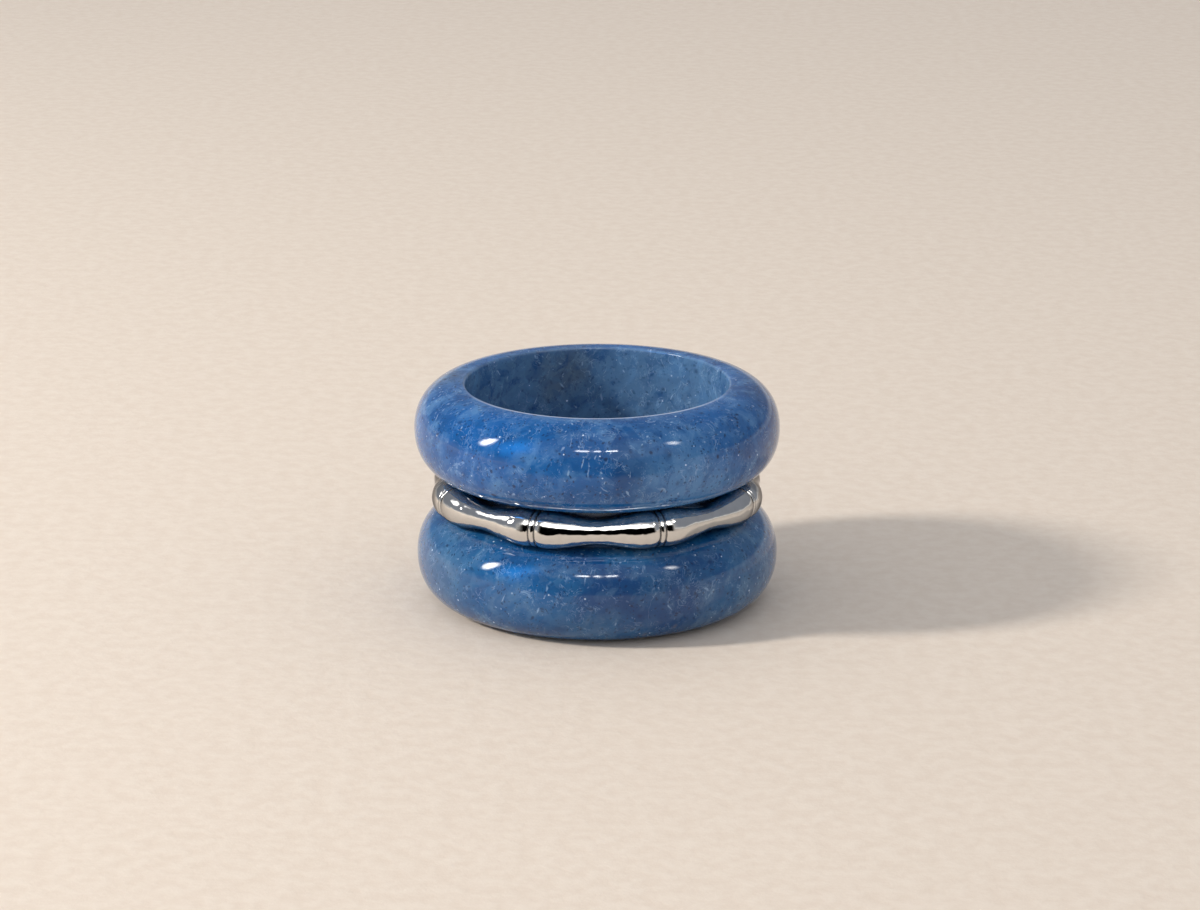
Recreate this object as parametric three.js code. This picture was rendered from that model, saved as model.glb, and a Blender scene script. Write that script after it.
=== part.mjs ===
// A stack of finger bands on one axis, worn together as a single ring: two domed bands turned
// from polished stone, with a cast metal band in the form of a bamboo cane between them.
//
// Millimetres, +Z up. The origin is the centre of the face that the stack rests on.
// -Y is the front: the middle of one cane segment faces it.

import * as THREE from 'three';

// Driving dimensions shared by the stack
const boreRadius = 8.65; // finger hole of the stone bands
const bandSpacing = 2.34; // clear height between the two stone bands

// Stone bands: flat bore, narrow flat rims, and one continuous dome on the outside
const rimFlat = 0.4; // width of the flat ring at the top and bottom of a band
const domeExponent = 2.18; // 2 is an ellipse, more is squarer
const lowerBand = { outerRadius: 11.9, height: 6.2 };
const upperBand = { outerRadius: 12.0, height: 6.05 };

// Metal band: a D-shaped cane section, round on the outside and flat at the finger. It is full at
// its joints, where it nests between the domes, and drawn in between them.
const segmentCount = 8;
const metalBoreRadius = 8.7;
const crown = { roundRadius: 1.23, centreRadius: 9.95, wallHalfHeight: 1.07 }; // beside each joint
const waist = { roundRadius: 0.85, centreRadius: 9.88, wallHalfHeight: 0.93 }; // between two joints
const crownArc = 0.8; // from the middle of a joint to the fullest part of the cane

// Joint of the cane: a raised bead between two grooves
const beadWidth = 0.36;
const beadSetback = 0.04; // how far the bead stays below the crown
const grooveWidth = 0.12;
const grooveDepth = 0.12;

// Facets
const stoneTurns = 64; // around a stone band
const domeSteps = 14; // over the dome of a stone band
const caneSteps = 12; // over the round of the cane section
const waistSteps = 6; // from the crown of the cane to its waist

// Points of a superellipse's outer half, from its bottom to its top; exponent 2 is a circle or ellipse
function outerHalf({ centreRadius, halfWidth, halfHeight, exponent, steps }) {
  const power = (value) => Math.sign(value) * Math.abs(value) ** (2 / exponent);
  return Array.from({ length: steps + 1 }, (_, step) => {
    const angle = (step / steps - 0.5) * Math.PI;
    const across = step % steps === 0 ? 0 : power(Math.cos(angle));
    return new THREE.Vector2(centreRadius + halfWidth * across, halfHeight * power(Math.sin(angle)));
  });
}

// Closes a section with the straight wall at the finger
function closedSection(outside, wallRadius, wallHalfHeight) {
  const bottom = new THREE.Vector2(wallRadius, -wallHalfHeight);
  const top = new THREE.Vector2(wallRadius, wallHalfHeight);
  return [bottom, ...outside, top, bottom.clone()];
}

// Lathes a section about the vertical axis
function turned(section, turns) {
  return new THREE.LatheGeometry(section, turns).rotateX(Math.PI / 2);
}

function stoneBandGeometry({ outerRadius, height }) {
  const centreRadius = boreRadius + rimFlat;
  const dome = outerHalf({
    centreRadius,
    halfWidth: outerRadius - centreRadius,
    halfHeight: height / 2,
    exponent: domeExponent,
    steps: domeSteps,
  });
  return turned(closedSection(dome, boreRadius, height / 2), stoneTurns);
}

// Sections of the cane from the middle of a joint to the middle of the segment beside it.
// swell is 1 at the crown and 0 at the waist, and cut is taken off the section all round.
function halfSegmentStations() {
  const asAngle = (arc) => arc / (crown.centreRadius + crown.roundRadius);
  const joint = [
    { angle: 0, swell: 1, cut: beadSetback },
    { angle: asAngle(beadWidth / 2), swell: 1, cut: beadSetback },
    { angle: asAngle((beadWidth + grooveWidth) / 2), swell: 1, cut: grooveDepth },
    { angle: asAngle(beadWidth / 2 + grooveWidth), swell: 1, cut: beadSetback },
    { angle: asAngle(crownArc), swell: 1, cut: 0 },
  ];
  const crownAngle = asAngle(crownArc);
  const middleAngle = Math.PI / segmentCount;
  const body = Array.from({ length: waistSteps }, (_, step) => {
    const along = (step + 1) / waistSteps;
    return {
      angle: THREE.MathUtils.lerp(crownAngle, middleAngle, along),
      swell: (1 + Math.cos(along * Math.PI)) / 2,
      cut: 0,
    };
  });
  return [...joint, ...body];
}

// All sections around the band, each with its angle from the front
function caneStations() {
  const half = halfSegmentStations();
  const before = half.slice(1, -1).reverse().map((station) => ({ ...station, angle: -station.angle }));
  const pitch = (2 * Math.PI) / segmentCount;
  return Array.from({ length: segmentCount }, (_, segment) =>
    [...before, ...half].map((station) => ({ ...station, angle: station.angle + (segment + 0.5) * pitch })),
  ).flat();
}

function caneSection({ swell, cut }) {
  const between = (size) => THREE.MathUtils.lerp(waist[size], crown[size], swell);
  const roundRadius = between('roundRadius') - cut;
  const round = outerHalf({
    centreRadius: between('centreRadius'),
    halfWidth: roundRadius,
    halfHeight: roundRadius,
    exponent: 2,
    steps: caneSteps,
  });
  return closedSection(round, metalBoreRadius, between('wallHalfHeight') - cut);
}

// A plain lathed ring whose rows of vertices are then set to the cane's own sections
function bambooBandGeometry() {
  const stations = caneStations();
  const sections = stations.map(caneSection);
  const geometry = turned(sections[0], stations.length);
  const position = geometry.getAttribute('position');
  const pointsPerRow = sections[0].length;
  for (let vertex = 0; vertex < position.count; vertex += 1) {
    const row = Math.floor(vertex / pointsPerRow) % stations.length;
    const { x: radius, y: height } = sections[row][vertex % pointsPerRow];
    const { angle } = stations[row];
    position.setXYZ(vertex, radius * Math.sin(angle), -radius * Math.cos(angle), height);
  }
  geometry.computeVertexNormals();
  return geometry;
}

function addBand(name, geometry, material, middleHeight) {
  const mesh = new THREE.Mesh(geometry, material);
  mesh.name = name;
  mesh.position.z = middleHeight;
  stack.add(mesh);
}

const blueStone = { color: 0x3c639b, roughness: 0.12, metalness: 0 };
const polishedMetal = { color: 0xd9d6d1, roughness: 0.05, metalness: 1 };

const stack = new THREE.Group();
addBand(
  'lower_stone_band',
  stoneBandGeometry(lowerBand),
  new THREE.MeshStandardMaterial(blueStone),
  lowerBand.height / 2,
);
addBand(
  'bamboo_band',
  bambooBandGeometry(),
  new THREE.MeshStandardMaterial(polishedMetal),
  lowerBand.height + bandSpacing / 2,
);
addBand(
  'upper_stone_band',
  stoneBandGeometry(upperBand),
  new THREE.MeshStandardMaterial(blueStone),
  lowerBand.height + bandSpacing + upperBand.height / 2,
);

export default stack;
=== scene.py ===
"""Looks for a stack of finger bands: domed blue stone above and below a polished bamboo-cane band."""

import math

import bpy
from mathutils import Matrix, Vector

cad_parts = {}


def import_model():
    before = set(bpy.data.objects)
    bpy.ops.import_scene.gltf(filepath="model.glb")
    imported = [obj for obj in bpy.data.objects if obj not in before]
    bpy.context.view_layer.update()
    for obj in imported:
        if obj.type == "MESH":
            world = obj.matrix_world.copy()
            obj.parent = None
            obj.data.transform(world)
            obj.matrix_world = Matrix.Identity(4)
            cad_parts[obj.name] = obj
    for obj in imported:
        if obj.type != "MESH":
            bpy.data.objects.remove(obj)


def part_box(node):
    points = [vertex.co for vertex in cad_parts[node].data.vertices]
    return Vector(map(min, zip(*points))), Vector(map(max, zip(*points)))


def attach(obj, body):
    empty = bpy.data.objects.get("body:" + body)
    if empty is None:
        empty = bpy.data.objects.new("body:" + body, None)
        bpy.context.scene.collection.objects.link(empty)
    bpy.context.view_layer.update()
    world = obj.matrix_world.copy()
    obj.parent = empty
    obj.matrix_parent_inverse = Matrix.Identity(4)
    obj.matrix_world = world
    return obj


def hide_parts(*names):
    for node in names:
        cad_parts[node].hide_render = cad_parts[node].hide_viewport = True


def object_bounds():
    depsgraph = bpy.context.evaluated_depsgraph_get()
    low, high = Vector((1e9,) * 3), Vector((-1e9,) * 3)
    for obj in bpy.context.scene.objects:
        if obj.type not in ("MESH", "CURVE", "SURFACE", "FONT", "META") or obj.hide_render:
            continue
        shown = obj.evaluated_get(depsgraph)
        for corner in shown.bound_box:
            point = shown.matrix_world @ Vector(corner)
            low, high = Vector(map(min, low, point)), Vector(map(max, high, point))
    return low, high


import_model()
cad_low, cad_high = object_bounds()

MM = 0.001

# Shapes, as in the CAD model
BORE_RADIUS = 8.65 * MM
RIM_FLAT = 0.4 * MM
DOME_EXPONENT = 2.18
METAL_BORE_RADIUS = 8.7 * MM
SEGMENTS = 8
# The cane at its fullest and midway between joints: radius of its round, distance of the round's centre
# from the axis, and half the height of its wall
CROWN = (1.23 * MM, 9.95 * MM, 1.07 * MM)
WAIST = (0.85 * MM, 9.88 * MM, 0.93 * MM)
CROWN_ARC = 0.8 * MM  # from the middle of a joint to the crown
CROWN_OUTER_RADIUS = CROWN[0] + CROWN[1]
HALF_SEGMENT = math.pi / SEGMENTS * CROWN_OUTER_RADIUS

# Fine shapes that only the finished surface has
STONE_EDGE = 0.2 * MM  # rounding of the stone's edges at the finger hole
METAL_EDGE = 0.1 * MM
BEAD_EDGE = 0.17 * MM  # from the middle of a joint to the side of its bead
BEAD_SETBACK = 0.03 * MM
GROOVE_WIDTH = 0.07 * MM
GROOVE_DEPTH = 0.13 * MM
GROOVE_EDGE = BEAD_EDGE + GROOVE_WIDTH
SHOULDER = 0.5 * MM  # length over which a cane segment rounds over to its joint
SIDE_UNSHADED = 0.05 * MM  # how far past its round, onto its flat sides, the cane stays bright before its painted shade begins

# Steps of the meshes
STONE_TURNS = 320
DOME_STEPS = 80
STONE_EDGE_STEPS, STONE_WALL_STEPS = 6, 14
ROUND_STEPS = 44
SIDE_STEPS = 8
METAL_EDGE_STEPS, METAL_WALL_STEPS = 5, 6
BEAD_STEPS, GROOVE_STEPS, SHOULDER_STEPS, BODY_STEPS = 8, 2, 12, 32
CARD_COLUMNS, CARD_ROWS = 36, 12


def linked(name, data):
    thing = bpy.data.objects.new(name, data)
    bpy.context.scene.collection.objects.link(thing)
    return thing


# ---------------------------------------------------------------- bands

def ring_mesh(name, rows):
    """A closed ring through rows of points; every row is one closed section with as many points."""
    count, points = len(rows), len(rows[0])
    vertices = [point for row in rows for point in row]
    faces = []
    for row in range(count):
        here, there = row * points, (row + 1) % count * points
        for point in range(points):
            after = (point + 1) % points
            faces.append((here + point, there + point, there + after, here + after))
    mesh = bpy.data.meshes.new(name)
    mesh.from_pydata(vertices, [], faces)
    mesh.polygons.foreach_set("use_smooth", [True] * len(faces))
    mesh.update()
    return linked(name, mesh)


def superellipse_half(centre_radius, half_width, half_height, exponent, steps):
    """(radius, height) points of the outer half, from bottom to top, end points included."""
    points = []
    for step in range(steps + 1):
        angle = (step / steps - 0.5) * math.pi
        across = max(0.0, math.cos(angle)) ** (2 / exponent)
        up = math.copysign(abs(math.sin(angle)) ** (2 / exponent), math.sin(angle))
        points.append((centre_radius + half_width * across, half_height * up))
    return points


def inner_wall(radius, half_height, edge, edge_steps, wall_steps):
    """(radius, height) points down the bore with both of its edges rounded, from top to bottom."""
    top = []
    for step in range(edge_steps + 1):
        angle = step / edge_steps * math.pi / 2
        top.append((radius + edge * (1 - math.sin(angle)), half_height - edge * (1 - math.cos(angle))))
    wall_top = half_height - edge
    wall = [(radius, wall_top * (1 - 2 * step / wall_steps)) for step in range(1, wall_steps)]
    bottom = [(r, -z) for r, z in reversed(top)]
    return top + wall + bottom


def around(section, angle, middle_height):
    """A section's points set at an angle from the front, counted towards +X."""
    x, y = math.sin(angle), -math.cos(angle)
    return [(r * x, r * y, middle_height + z) for r, z in section]


def stone_band(node):
    low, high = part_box(node)
    outer_radius, height = (high.x - low.x) / 2, high.z - low.z
    centre_radius = BORE_RADIUS + RIM_FLAT
    half_width = outer_radius - centre_radius
    dome = superellipse_half(centre_radius, half_width, height / 2, DOME_EXPONENT, DOME_STEPS)
    wall = inner_wall(BORE_RADIUS, height / 2, STONE_EDGE, STONE_EDGE_STEPS, STONE_WALL_STEPS)
    angles = [2 * math.pi * turn / STONE_TURNS for turn in range(STONE_TURNS)]
    rows = [around(dome + wall, angle, (low.z + high.z) / 2) for angle in angles]
    piece = ring_mesh(node + "_polished", rows)
    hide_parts(node)
    return piece


def cane_section(swell, cut):
    """(radius, height) points of the closed section: round outside, straight sides, flat wall inside.

    Swell is 1 at the crown and 0 at the waist, and cut is taken off the section all round.
    """
    round_radius, centre_radius, wall_half_height = (
        narrow + (full - narrow) * swell for narrow, full in zip(WAIST, CROWN))
    round_radius -= cut
    arc = superellipse_half(centre_radius, round_radius, round_radius, 2, ROUND_STEPS)
    wall = inner_wall(METAL_BORE_RADIUS, wall_half_height - cut, METAL_EDGE,
                      METAL_EDGE_STEPS, METAL_WALL_STEPS)
    near_radius, near_height = wall[0]
    side = []
    for step in range(1, SIDE_STEPS):
        along = step / SIDE_STEPS
        radius = centre_radius + (near_radius - centre_radius) * along
        side.append((radius, round_radius + (near_height - round_radius) * along))
    return arc + side + wall + [(radius, -height) for radius, height in reversed(side)]


def dark_groove_and_shade_depths(section, swell, cut):
    """1 where the metal is painted dark: in the grooves, and as painted shade on the sides hidden under the
    domes; else 0.
    """
    round_centre = WAIST[1] + (CROWN[1] - WAIST[1]) * swell
    wall_edge = METAL_BORE_RADIUS + METAL_EDGE
    depths = []
    for radius, _ in section:
        if radius < wall_edge:
            depths.append(0.0)
        else:
            # Painted shade: the flat sides under the domes get 1; the grooves get their depth.
            depths.append(1.0 if radius < round_centre - SIDE_UNSHADED else cut / GROOVE_DEPTH)
    return depths


def joint_cut(arc):
    """How much is cut from the cane at a distance from the middle of its joint: bead, groove, shoulder."""
    if arc < BEAD_EDGE:
        round_over = 1 - math.sqrt(1 - (arc / BEAD_EDGE) ** 2)
        return BEAD_SETBACK + (GROOVE_DEPTH - BEAD_SETBACK) * round_over
    if arc < GROOVE_EDGE:
        return GROOVE_DEPTH
    along = min(1.0, (arc - GROOVE_EDGE) / SHOULDER)
    return GROOVE_DEPTH * (1 - math.sqrt(1 - (1 - along) ** 2))


def cane_arcs():
    """Distances from the middle of a joint to the middle of the segment beside it."""
    quarter = math.pi / 2
    bead = [BEAD_EDGE * math.sin(step / BEAD_STEPS * quarter) for step in range(BEAD_STEPS + 1)]
    groove = [BEAD_EDGE + GROOVE_WIDTH * step / GROOVE_STEPS for step in range(1, GROOVE_STEPS + 1)]
    shoulder = [GROOVE_EDGE + SHOULDER * (1 - math.cos(step / SHOULDER_STEPS * quarter))
                for step in range(1, SHOULDER_STEPS + 1)]
    start = shoulder[-1]
    body = [start + (HALF_SEGMENT - start) * step / BODY_STEPS for step in range(1, BODY_STEPS + 1)]
    return bead + groove + shoulder + body


def bamboo_band(node):
    low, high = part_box(node)
    arcs = cane_arcs()
    signed = [-arc for arc in arcs[-2:0:-1]] + arcs
    rows, depths = [], []
    for segment in range(SEGMENTS):
        for arc in signed:
            along = max(0.0, (abs(arc) - CROWN_ARC) / (HALF_SEGMENT - CROWN_ARC))
            swell = (1 + math.cos(along * math.pi)) / 2
            cut = joint_cut(abs(arc))
            section = cane_section(swell, cut)
            angle = (segment + 0.5) * 2 * math.pi / SEGMENTS + arc / CROWN_OUTER_RADIUS
            rows.append(around(section, angle, (low.z + high.z) / 2))
            depths += dark_groove_and_shade_depths(section, swell, cut)
    piece = ring_mesh(node + "_cast", rows)
    piece.data.attributes.new("dark_grooves_and_shade", "FLOAT", "POINT").data.foreach_set("value", depths)
    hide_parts(node)
    return piece


# ---------------------------------------------------------------- node helpers

class Graph:
    """Adds nodes to one node tree. An input is a value, or a socket to link from."""

    def __init__(self, tree):
        self.tree = tree

    def join(self, socket, value):
        if isinstance(value, bpy.types.NodeSocket):
            self.tree.links.new(value, socket)
        else:
            socket.default_value = value

    def feed(self, node, inputs):
        for key, value in inputs.items():
            self.join(node.inputs[key], value)

    def add(self, kind, inputs=None, **settings):
        node = self.tree.nodes.new(kind)
        for name, value in settings.items():
            setattr(node, name, value)
        self.feed(node, inputs or {})
        return node

    def math(self, operation, first, second=0.0):
        return self.add("ShaderNodeMath", {0: first, 1: second}, operation=operation).outputs[0]

    def vector_math(self, operation, first, second=(0, 0, 0)):
        node = self.add("ShaderNodeVectorMath", {0: first, 1: second}, operation=operation)
        return node.outputs["Value" if operation in ("LENGTH", "DISTANCE") else "Vector"]

    def parts(self, vector):
        return self.add("ShaderNodeSeparateXYZ", {0: vector}).outputs

    def mapped(self, value, low, high, to_low=0.0, to_high=1.0):
        """A value eased from one range to another; low may be above high."""
        inputs = {"Value": value, "From Min": low, "From Max": high, "To Min": to_low, "To Max": to_high}
        return self.add("ShaderNodeMapRange", inputs, interpolation_type="SMOOTHSTEP").outputs[0]

    def mix(self, factor, first, second):
        node = self.add("ShaderNodeMix", data_type="RGBA", blend_type="MIX")
        colour_inputs = [socket for socket in node.inputs if socket.type == "RGBA"]
        for socket, value in zip([node.inputs[0], *colour_inputs], (factor, first, second)):
            self.join(socket, value)
        return [socket for socket in node.outputs if socket.type == "RGBA"][0]

    def over(self, colour, tone, mask, strength):
        """The colour with a tone laid over it where the mask is 1."""
        return self.mix(self.math("MULTIPLY", mask, strength), colour, tone)

    def noise(self, vector, scale, detail=2.0, roughness=0.5, distortion=0.0, output=0):
        inputs = {"Vector": vector, "Scale": scale, "Detail": detail, "Roughness": roughness,
                  "Distortion": distortion}
        return self.add("ShaderNodeTexNoise", inputs).outputs[output]

    def cells(self, vector, scale):
        """Distance from the nearest of many scattered points, and a random number that each of them has."""
        scattered = self.add("ShaderNodeTexVoronoi", {"Vector": vector, "Scale": scale}).outputs
        chance = self.add("ShaderNodeSeparateColor", {0: scattered["Color"]}).outputs[0]
        return scattered["Distance"], chance

    def place(self, vector, scale=(1, 1, 1), location=(0, 0, 0)):
        inputs = {"Vector": vector, "Scale": scale, "Location": location}
        return self.add("ShaderNodeMapping", inputs).outputs[0]

    def millimetres(self):
        """Places on the piece, in mm."""
        metres = self.add("ShaderNodeTexCoord").outputs["Object"]
        return self.place(metres, scale=(1000, 1000, 1000))

    def drawn_out(self, vector, stretch, lean, start=(0, 0, 0)):
        """A space in which everything comes out longer, by stretch, along the vertical turned by lean."""
        inputs = {"Vector": vector, "Scale": (1, 1, stretch), "Rotation": lean, "Location": start}
        return self.add("ShaderNodeMapping", inputs, vector_type="TEXTURE").outputs[0]

    def bump(self, height, strength, distance):
        inputs = {"Height": height, "Strength": strength, "Distance": distance}
        return self.add("ShaderNodeBump", inputs).outputs[0]


def blank_material(name):
    material = bpy.data.materials.new(name)
    material.use_nodes = True
    material.node_tree.nodes.clear()
    return material, Graph(material.node_tree)


def surface_material(name):
    material, graph = blank_material(name)
    surface = graph.add("ShaderNodeBsdfPrincipled")
    graph.add("ShaderNodeOutputMaterial", {"Surface": surface.outputs[0]})
    return material, graph, surface


def rgb(red, green, blue):
    """A colour given as it looks on screen, 0 to 255, as the linear colour that a shader takes."""
    linear = []
    for channel in (red, green, blue):
        value = channel / 255
        linear.append(value / 12.92 if value <= 0.04045 else ((value + 0.055) / 1.055) ** 2.4)
    return (*linear, 1.0)


# ---------------------------------------------------------------- stone

def specks(graph, vector, cells_per_mm, radius, rarity, core=0.45):
    """Grains of mixed sizes, up to a radius in mm. Higher rarity leaves fewer big ones."""
    distance, chance = graph.cells(vector, cells_per_mm)
    size = graph.math("MULTIPLY", graph.math("POWER", chance, rarity), radius * cells_per_mm)
    return graph.mapped(distance, size, graph.math("MULTIPLY", size, core))


def needles(graph, vector, cells_per_mm, radius, stretch):
    """Short straight strokes that lean in three directions."""
    strokes = None
    for turn, lean in enumerate(((0.2, 0.55, 0), (-0.3, 0.15, 0), (0.5, -0.75, 0))):
        space = graph.drawn_out(vector, stretch, lean, (7 * turn, 0, 0))
        along = specks(graph, space, cells_per_mm, radius, 1.0, 0.4)
        strokes = along if strokes is None else graph.math("MAXIMUM", strokes, along)
    return strokes


def threads(graph, vector, scale, width, seed):
    """Thin wandering threads where a noise crosses its middle value, broken up by another noise."""
    field = graph.noise(graph.place(vector, location=(seed, 0, 0)), scale, 3.0, 0.6, 1.2)
    off_middle = graph.math("ABSOLUTE", graph.math("SUBTRACT", field, 0.5))
    line = graph.mapped(off_middle, width, 0.0)
    patches = graph.noise(graph.place(vector, location=(0, seed, 0)), 0.7, 3.0, 0.6)
    return graph.math("MULTIPLY", line, graph.mapped(patches, 0.48, 0.62))


def warped(graph, vector, scale, reach):
    """The vector shifted by a noise, by up to about half of reach in mm."""
    shift = graph.vector_math("SUBTRACT", graph.noise(vector, scale, 3.0, output="Color"), (0.5, 0.5, 0.5))
    return graph.vector_math("ADD", vector, graph.vector_math("MULTIPLY", shift, (reach, reach, reach)))


def zone(graph, vector, piece_box, place, radius):
    """1 around a place on a band, fading to 0 at a radius in mm.

    The place is its angle from the front, its rise above the band's middle and how far it lies
    inside the band's outer radius, in mm.
    """
    low, high = piece_box
    angle, rise, inset = place
    reach = (high.x - low.x) / 2 / MM - inset
    turn = math.radians(angle)
    centre = (reach * math.sin(turn), -reach * math.cos(turn), (low.z + high.z) / 2 / MM + rise)
    return graph.mapped(graph.vector_math("DISTANCE", vector, centre), radius, radius * 0.15)


def wall_and_rim_highlight_masks(graph, here, piece_box):
    """1 on the wall at the finger, and near 1 on the rims' inner edges at the front: a painted highlight.
    """
    low, high = piece_box
    bore, half_height = BORE_RADIUS / MM, (high.z - low.z) / 2 / MM
    radius = graph.vector_math("LENGTH", graph.place(here, scale=(1, 1, 0)))
    wall = graph.mapped(radius, bore + 0.2, bore + 0.04)
    beside_wall = graph.mapped(radius, bore + 0.45, bore + 0.2)
    _, depth, height = graph.parts(here)
    off_middle = graph.math("ABSOLUTE", graph.math("SUBTRACT", height, (low.z + high.z) / 2 / MM))
    at_rim = graph.mapped(off_middle, half_height - 0.14, half_height - 0.04)
    # Painted highlight: the pale line on the inner edges is strong at the front and faint elsewhere.
    highlight_towards_front = graph.mapped(depth, -2.0, -8.0, 0.05, 0.9)
    return wall, graph.math("MULTIPLY", graph.math("MULTIPLY", beside_wall, at_rim), highlight_towards_front)


def clouded(graph, here, moved, bent, wall, piece_box, palette, zones):
    """The stone's broad tones: slow changes, placed zones (which can paint a highlight), billows and coarse
    crystals.
    """
    clouds = graph.noise(moved, 0.17, 4.0, 0.55, 0.6)
    colour = graph.mix(graph.mapped(clouds, 0.36, 0.62), palette["deep"], palette["mid"])
    colour = graph.over(colour, palette["inside"], wall, 0.8)
    zone_space = warped(graph, here, 0.35, 3.0)
    for tone, place, radius, strength in zones:
        mask = zone(graph, zone_space, piece_box, place, radius)
        colour = graph.over(colour, palette[tone], mask, strength)

    billows = graph.noise(graph.drawn_out(bent, 1.7, (0.3, 0.6, 0)), 0.7, 6.0, 0.6, 0.6)
    colour = graph.mix(graph.mapped(billows, 0.48, 0.7, 0.0, 0.55), colour, palette["haze"])
    colour = graph.mix(graph.mapped(billows, 0.5, 0.32, 0.0, 0.6), colour, palette["deep"])
    _, tone = graph.cells(warped(graph, moved, 2.0, 0.7), 1.5)
    colour = graph.mix(graph.mapped(tone, 0.5, 1.0, 0.0, 0.18), colour, palette["haze"])
    return graph.mix(graph.mapped(tone, 0.5, 0.0, 0.0, 0.2), colour, palette["deep"])


def marked(graph, colour, moved, bent, wall, palette):
    """The stone's fine marks: pale threads and strokes, dark grains and dashes, tan and bright flecks."""
    first_threads = threads(graph, moved, 0.7, 0.02, 11.0)
    veil = graph.math("MAXIMUM", first_threads, threads(graph, moved, 1.2, 0.016, 37.0))
    gathered = graph.mapped(graph.noise(moved, 0.45, 2.0), 0.4, 0.6, 0.25, 1.0)
    strokes = needles(graph, graph.place(bent, location=(13, 4, 8)), 2.2, 0.1, 8.0)
    gathered_strokes = graph.math("MULTIPLY", strokes, gathered)
    pale = graph.math("MAXIMUM", graph.math("MULTIPLY", veil, 0.6), gathered_strokes)
    colour = graph.over(colour, palette["thread"], pale, 0.55)

    sunk = specks(graph, graph.place(bent, location=(21, 2, 40)), 1.3, 0.3, 1.6, 0.0)
    colour = graph.over(colour, palette["speck"], sunk, 0.5)
    fine = graph.math("MULTIPLY", specks(graph, bent, 3.4, 0.12, 0.8), 0.7)
    coarse = specks(graph, graph.place(bent, location=(5, 9, 2)), 1.4, 0.19, 1.6)
    dashes = needles(graph, graph.place(bent, location=(2, 44, 18)), 2.2, 0.09, 2.5)
    dark = graph.math("MAXIMUM", graph.math("MAXIMUM", fine, coarse), dashes)
    colour = graph.over(colour, palette["speck"], dark, graph.mapped(wall, 0.0, 1.0, 0.75, 0.35))

    tan = specks(graph, graph.place(bent, location=(50, 20, 5)), 0.5, 0.34, 6.0, 0.1)
    colour = graph.over(colour, palette["tan"], tan, 0.45)
    glitter = specks(graph, graph.place(moved, location=(9, 31, 3)), 1.7, 0.09, 1.3, 0.5)
    return graph.over(colour, palette["glitter"], glitter, gathered)


def stone_material(name, seed, piece_box, palette, zones):
    material, graph, surface = surface_material(name)
    here = graph.millimetres()
    moved = graph.place(here, location=(seed, seed * 0.7, -seed))
    bent = warped(graph, moved, 0.8, 0.9)
    wall, rim_highlight_mask = wall_and_rim_highlight_masks(graph, here, piece_box)
    colour = clouded(graph, here, moved, bent, wall, piece_box, palette, zones)
    colour = marked(graph, colour, moved, bent, wall, palette)
    polish = graph.mapped(graph.noise(moved, 1.1, 3.0), 0.3, 0.7, 0.05, 0.1)
    pits = specks(graph, graph.place(moved, location=(3, 70, 22)), 0.9, 0.1, 4.0)
    ripple = graph.math("MULTIPLY", graph.noise(moved, 0.9, 2.0), 0.3)
    graph.feed(surface, {
        # Painted highlight: a pale reflection line laid over the stone's colour on the inner edges at the
        # front.
        "Base Color": graph.mix(rim_highlight_mask, colour, palette["rim_highlight"]),
        "Roughness": graph.math("ADD", polish, graph.math("MULTIPLY", wall, 0.12)),
        "IOR": 1.54,
        "Subsurface Weight": 0.25,
        "Subsurface Radius": (0.35, 0.6, 1.0),
        "Subsurface Scale": 1.0 * MM,
        "Normal": graph.bump(graph.math("SUBTRACT", ripple, pits), 0.3, 0.02 * MM),
    })
    return material


# ---------------------------------------------------------------- metal

def metal_material():
    material, graph, surface = surface_material("polished_silver")
    here = graph.millimetres()
    dark_grooves_and_shade = graph.add("ShaderNodeAttribute", attribute_name="dark_grooves_and_shade").outputs["Fac"]
    # Painted shade on the sides hidden under the domes, and darkening in the grooves.
    groove_dark_and_shade = graph.mapped(dark_grooves_and_shade, 0.55, 1.0, 0.0, 0.75)
    haze = graph.noise(here, 1.4, 4.0, 0.6)
    silver_tone = graph.mix(graph.mapped(haze, 0.35, 0.7), (0.70, 0.69, 0.675, 1), (0.65, 0.64, 0.625, 1))
    smears = graph.mapped(haze, 0.4, 0.75, 0.025, 0.07)
    graph.feed(surface, {
        "Base Color": graph.mix(groove_dark_and_shade, silver_tone, (0.09, 0.09, 0.10, 1)),
        "Roughness": graph.math("ADD", smears, graph.math("MULTIPLY", groove_dark_and_shade, 0.3)),
        "Metallic": 1.0,
        "Specular Tint": (0.35, 0.35, 0.36, 1),  # darkens the reflections along the outline, a painted shade
        "Normal": graph.bump(graph.noise(here, 0.6, 2.0, 0.5), 1.0, 0.12 * MM),
    })
    return material


# ---------------------------------------------------------------- stage

AXIS = Vector((0, 0, (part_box("lower_stone_band")[1].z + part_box("upper_stone_band")[0].z) / 2))

CAMERA_ELEVATION = 17.04
CAMERA_DISTANCE = 258.2 * MM
SENSOR_WIDTH, FOCAL_LENGTH = 36.0, 117.33
ORBIT_DROP = 0.07 * MM  # the point that the camera circles lies this far under the middle of the cane
AIM_OFFSET = (0.19 * MM, 0, 2.245 * MM)  # from that point to the one in the middle of the picture

FLOOR_RADIUS = 2.0
FLOOR_RINGS, FLOOR_TURNS = 12, 96


def towards(azimuth, elevation):
    """The direction from the ring to a place; azimuth 0 is the front and 90 the viewer's right."""
    a, e = math.radians(azimuth), math.radians(elevation)
    return Vector((math.sin(a) * math.cos(e), -math.cos(a) * math.cos(e), math.sin(e)))


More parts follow.
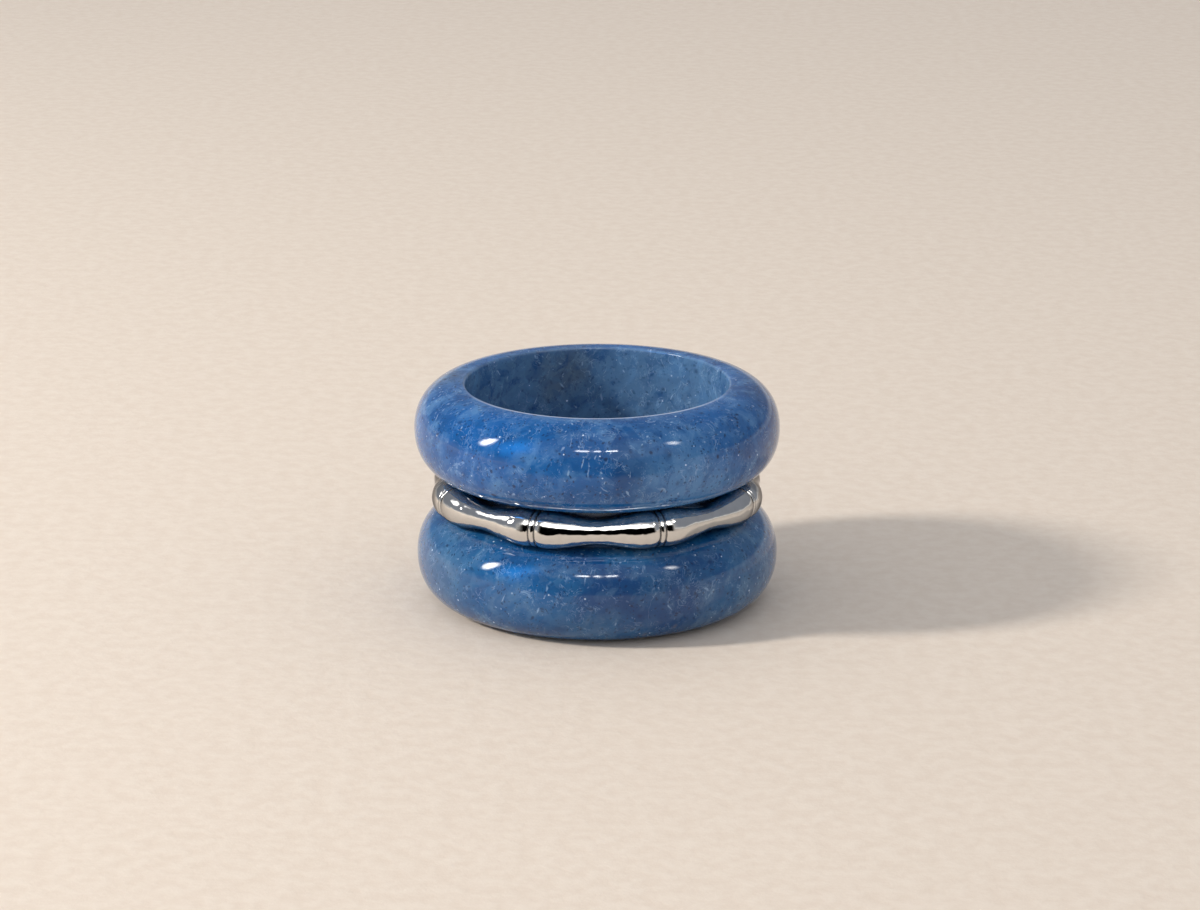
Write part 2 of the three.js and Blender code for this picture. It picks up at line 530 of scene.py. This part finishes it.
def camera():
    data = bpy.data.cameras.new("camera")
    data.sensor_width, data.lens = SENSOR_WIDTH, FOCAL_LENGTH
    data.clip_start = 1 * MM
    eye = linked("camera", data)
    middle = AXIS + Vector((0, 0, -ORBIT_DROP))
    eye.location = middle + towards(0, CAMERA_ELEVATION) * CAMERA_DISTANCE
    eye.rotation_mode = "QUATERNION"
    eye.rotation_quaternion = (middle + Vector(AIM_OFFSET) - eye.location).to_track_quat("-Z", "Y")
    bpy.context.scene.camera = eye


def area_light(name, azimuth, elevation, distance, width, height, watts, colour):
    data = bpy.data.lights.new(name, "AREA")
    data.shape, data.size, data.size_y = "ELLIPSE", width, height
    data.energy, data.color = watts, colour
    lamp = linked(name, data)
    back = towards(azimuth, elevation)
    lamp.location = AXIS + back * distance
    lamp.rotation_mode = "QUATERNION"
    lamp.rotation_quaternion = back.to_track_quat("Z", "Y")
    return lamp


def card_mesh(name, azimuths, elevations, distance):
    """A patch of a sphere about the ring, with coordinates that run from 0 to 1 across it and up it."""
    vertices, faces, across_up = [], [], []
    for row in range(CARD_ROWS + 1):
        for column in range(CARD_COLUMNS + 1):
            azimuth = azimuths[0] + (azimuths[1] - azimuths[0]) * column / CARD_COLUMNS
            elevation = elevations[0] + (elevations[1] - elevations[0]) * row / CARD_ROWS
            vertices.append(AXIS + towards(azimuth, elevation) * distance)
            across_up.append((column / CARD_COLUMNS, row / CARD_ROWS))
    for row in range(CARD_ROWS):
        for column in range(CARD_COLUMNS):
            corner = row * (CARD_COLUMNS + 1) + column
            above = corner + CARD_COLUMNS + 1
            faces.append((corner, corner + 1, above + 1, above))
    mesh = bpy.data.meshes.new(name)
    mesh.from_pydata(vertices, [], faces)
    layer = mesh.uv_layers.new(name="card")
    for loop in mesh.loops:
        layer.data[loop.index].uv = across_up[loop.vertex_index]
    return mesh


def card_cover(graph, softness, waviness):
    """1 on the card, easing to 0 at its edges."""
    place = graph.add("ShaderNodeUVMap", uv_map="card").outputs[0]
    centred = graph.vector_math("SUBTRACT", place, (0.5, 0.5, 0))
    if not isinstance(softness, tuple):
        return graph.mapped(graph.vector_math("LENGTH", centred), 0.5, 0.5 - 0.5 * softness)
    across, up, _ = graph.parts(centred)
    wave = graph.noise(graph.place(place, scale=(5, 0.6, 1)), 1.0, 2.0)
    up = graph.math("ADD", up, graph.math("MULTIPLY", graph.math("SUBTRACT", wave, 0.5), waviness))
    fades = [graph.mapped(graph.math("ABSOLUTE", offset), 0.5, 0.5 - 0.5 * soft)
             for offset, soft in zip((across, up), softness)]
    return graph.math("MULTIPLY", *fades)


def card(name, azimuths, elevations, distance, colour, strength, softness,
         seen_by=(), solid=False, waviness=0.0):
    """A curved studio card that only reflections see.

    Softness is the part of it that fades out: a pair of numbers, across and up, for a rectangle,
    and a single number for an oval. Its light reaches the pieces in seen_by, or all of them. A solid
    card also hides what is behind it.
    """
    mesh = card_mesh(name, azimuths, elevations, distance)
    panel = linked(name, mesh)
    for ray in ("camera", "diffuse", "transmission", "volume_scatter", "shadow"):
        setattr(panel, "visible_" + ray, False)
    if seen_by:
        receivers = bpy.data.collections.new(name + "_seen_by")
        for piece in seen_by:
            receivers.objects.link(piece)
        panel.light_linking.receiver_collection = receivers

    material, graph = blank_material(name)
    cover = card_cover(graph, softness, waviness)
    clear = graph.add("ShaderNodeBsdfTransparent").outputs[0]
    if solid:
        emission = graph.add("ShaderNodeEmission", {"Color": colour, "Strength": strength}).outputs[0]
        blend = graph.add("ShaderNodeMixShader", {0: cover, 1: clear, 2: emission})
    else:
        glow = graph.math("MULTIPLY", cover, strength)
        emission = graph.add("ShaderNodeEmission", {"Color": colour, "Strength": glow}).outputs[0]
        blend = graph.add("ShaderNodeAddShader", {0: clear, 1: emission})
    graph.add("ShaderNodeOutputMaterial", {"Surface": blend.outputs[0]})
    mesh.materials.append(material)


def floor():
    vertices, faces = [(0, 0, 0)], []
    for ring in range(1, FLOOR_RINGS + 1):
        for turn in range(FLOOR_TURNS):
            angle = 2 * math.pi * turn / FLOOR_TURNS
            reach = FLOOR_RADIUS * (ring / FLOOR_RINGS) ** 3
            vertices.append((reach * math.cos(angle), reach * math.sin(angle), 0))
    for turn in range(FLOOR_TURNS):
        faces.append((0, 1 + turn, 1 + (turn + 1) % FLOOR_TURNS))
    for ring in range(FLOOR_RINGS - 1):
        inner, outer = 1 + ring * FLOOR_TURNS, 1 + (ring + 1) * FLOOR_TURNS
        for turn in range(FLOOR_TURNS):
            after = (turn + 1) % FLOOR_TURNS
            faces.append((inner + turn, outer + turn, outer + after, inner + after))
    mesh = bpy.data.meshes.new("floor")
    mesh.from_pydata(vertices, [], faces)
    ground = linked("floor", mesh)
    ground.location.z = cad_low.z

    material, graph, surface = surface_material("floor_paper")
    tooth = graph.noise(graph.millimetres(), 0.9, 5.0, 0.6)
    graph.feed(surface, {
        "Base Color": graph.mix(graph.mapped(tooth, 0.3, 0.7), rgb(222, 208, 194), rgb(228, 216, 203)),
        "Roughness": 0.75,
        "Normal": graph.bump(tooth, 0.35, 0.15 * MM),
    })
    mesh.materials.append(material)


def world():
    """A pale room, warmer at the horizon and cooler overhead."""
    scene_world = bpy.data.worlds.new("studio")
    bpy.context.scene.world = scene_world
    scene_world.use_nodes = True
    graph = Graph(scene_world.node_tree)
    direction = graph.add("ShaderNodeTexCoord").outputs["Generated"]
    ramp = graph.add("ShaderNodeValToRGB", {0: graph.mapped(graph.parts(direction)["Z"], 0.0, 1.0)})
    ramp.color_ramp.elements[0].color = (0.78, 0.76, 0.73, 1)
    ramp.color_ramp.elements[1].color = (0.66, 0.68, 0.72, 1)
    background = scene_world.node_tree.nodes["Background"]
    graph.feed(background, {"Color": ramp.outputs[0], "Strength": 0.95})


def lights(stones, metal):
    """One soft lamp from the left, and the cards that the polished surfaces mirror."""
    key = area_light("key", -78, 30, 0.45, 0.05, 0.07, 1.75, (1.0, 0.94, 0.86))
    key.visible_glossy = False
    card("key_glint", (-84, -73), (16, 43), 0.45, (1.0, 0.97, 0.93, 1), 30.0, 0.7)
    card("right_window", (53, 67), (38, 52), 0.45, (1.0, 0.98, 0.95, 1), 13.0, 0.95)
    card("sky", (-78, -36), (2, 62), 0.5, (0.02, 0.32, 1.0, 1), 6.0, 0.95, seen_by=stones)
    for name, azimuths in (("left", (-15.5, -5.5)), ("middle", (-2.5, 3)), ("right", (6.5, 15))):
        card("overhead_" + name, azimuths, (40, 45), 0.5, (1, 1, 1, 1), 22.0, (0.15, 0.6))
    card("dark_room", (48, 312), (2, 82), 0.9, (0.26, 0.28, 0.32, 1), 1.0, (0.1, 0.16), solid=True)
    card("front_flag", (-52, 52), (-9, 27), 0.045, (0.72, 0.72, 0.72, 1), 0.35, (0.35, 0.3),
         seen_by=stones, solid=True, waviness=0.5)
    card("front_glow", (-52, 52), (22, 56), 0.3, (1.0, 0.99, 0.97, 1), 2.6, (0.35, 0.25),
         seen_by=metal, waviness=0.6)
    card("left_window", (-116, -90), (20, 40), 0.4, (1.0, 0.99, 0.97, 1), 2.4, (0.7, 0.7), seen_by=metal)


# ---------------------------------------------------------------- scene

UPPER_PALETTE = {
    "royal": rgb(4, 84, 156), "deep": rgb(4, 68, 128), "mid": rgb(20, 92, 158), "grey": rgb(76, 128, 182),
    "haze": rgb(92, 138, 186), "thread": rgb(160, 192, 228), "speck": rgb(4, 24, 66),
    "tan": rgb(120, 118, 122), "glitter": rgb(200, 222, 250), "inside": rgb(88, 122, 158),
    # The last tone is a painted highlight, the pale line on the inner edges at the front.
    "smoke": rgb(100, 116, 132), "rim_highlight": rgb(184, 200, 228),
}
LOWER_PALETTE = {
    **UPPER_PALETTE,
    "royal": rgb(8, 86, 148), "deep": rgb(6, 62, 118), "mid": rgb(26, 90, 142), "grey": rgb(64, 104, 140),
    "haze": rgb(84, 120, 156),
}
# Zones of the stone, one of them a painted highlight: tone, (angle from the front, rise above the band's
# middle, inset), radius, strength
UPPER_ZONES = [
    ("royal", (-38, 0.9, 0.2), 5.5, 0.85),
    ("royal", (-8, 0.2, 0.0), 4.0, 0.5),
    # Painted highlight: lightens the stone right of the front, where a pale wedge of light shows.
    ("grey", (30, -0.4, 0.1), 5.2, 0.9),
    ("royal", (42, 1.8, 0.5), 3.2, 0.5),
    ("deep", (-5, 2.5, 1.0), 3.0, 0.5),
    ("smoke", (-100, 2.6, 1.6), 3.2, 0.5),
    ("smoke", (-163, 1.4, 3.3), 2.8, 0.6),
]
LOWER_ZONES = [
    ("royal", (-26, 1.4, 0.4), 4.5, 0.7),
    ("grey", (-58, 0.6, 0.2), 4.5, 0.5),
    ("deep", (26, -0.3, 0.1), 4.6, 0.85),
    ("grey", (60, 0.4, 0.1), 4.4, 0.5),
]

stone_upper = stone_band("upper_stone_band")
stone_lower = stone_band("lower_stone_band")
bamboo = bamboo_band("bamboo_band")

for band, node, seed, palette, zones in (
    (stone_upper, "upper_stone_band", 3.0, UPPER_PALETTE, UPPER_ZONES),
    (stone_lower, "lower_stone_band", 57.0, LOWER_PALETTE, LOWER_ZONES),
):
    band.data.materials.append(stone_material(node + "_quartz", seed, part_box(node), palette, zones))
bamboo.data.materials.append(metal_material())

for piece, slot in ((stone_upper, "stone"), (stone_lower, "stone"), (bamboo, "metal")):
    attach(piece, "root")

camera()
floor()
world()
lights((stone_upper, stone_lower), (bamboo,))
bpy.context.scene.view_settings.view_transform = "Standard"
